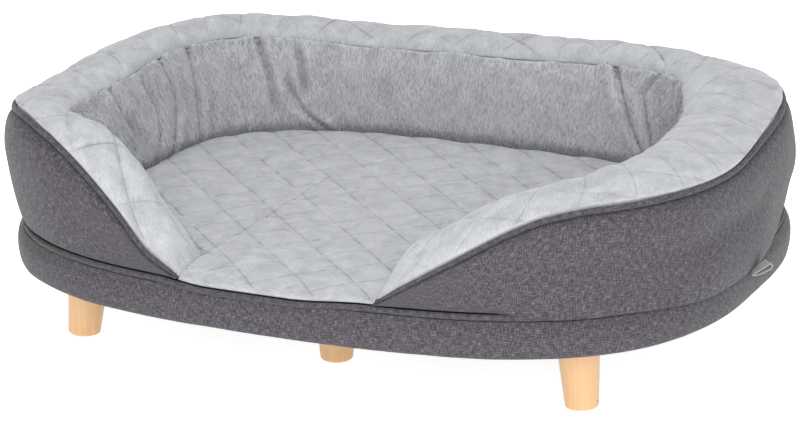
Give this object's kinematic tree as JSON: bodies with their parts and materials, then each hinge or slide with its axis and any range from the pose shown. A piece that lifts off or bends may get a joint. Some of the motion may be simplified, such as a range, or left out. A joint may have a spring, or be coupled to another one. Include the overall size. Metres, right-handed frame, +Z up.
{
  "type": "dog sofa bed",
  "caption": "Oval dog sofa bed: a quilted plush bolster bed, open at the front, that lifts out of a linen-covered platform on round wooden legs.",
  "frame": {"origin": "on the floor, under the middle of the bed", "axes": "+X along the length, to the right as seen from the front; the open mouth faces -Y; +Z up"},
  "size_m": [0.9823, 0.7718, 0.3057],
  "materials": {
    "linen": "woven",
    "piping": "woven",
    "plush": "short pile",
    "plush_wall": "long pile",
    "lining": "plain weave",
    "dust_cover": "non-woven",
    "wadding": "fibre filling",
    "foam": "open-cell foam",
    "ribbon": "satin ribbon",
    "plywood": "sanded",
    "leg_wood": "clear satin",
    "zinc_steel": "zinc plated"
  },
  "bodies": {
    "platform": {"platform_board": "plywood", "base_foam": "foam", "deck_cloth": "lining", "side_band": "linen", "base_welt": "piping", "dust_cover": "dust_cover", "leg_front_left": "leg_wood", "leg_front_middle": "leg_wood", "leg_front_right": "leg_wood", "leg_rear_left": "leg_wood", "leg_rear_middle": "leg_wood", "leg_rear_right": "leg_wood", "leg_plates": "zinc_steel", "hanger_bolts": "zinc_steel", "plate_screws": "zinc_steel"},
    "bed": {"bolster_filling": "wadding", "bolster_outer_cover": "linen", "bolster_welt": "piping", "bolster_top_panel": "plush", "bolster_inner_panel": "plush_wall", "bolster_base_cloth": "lining", "seat_pad_filling": "wadding", "seat_pad_cover": "plush", "seat_pad_backing": "lining", "side_tab": "ribbon"}
  },
  "joints": [
    {"name": "bed_lift", "type": "slide", "parent": "platform", "child": "bed", "axis": [0, 0, 1], "range_m": [0, 0.15]}
  ]
}
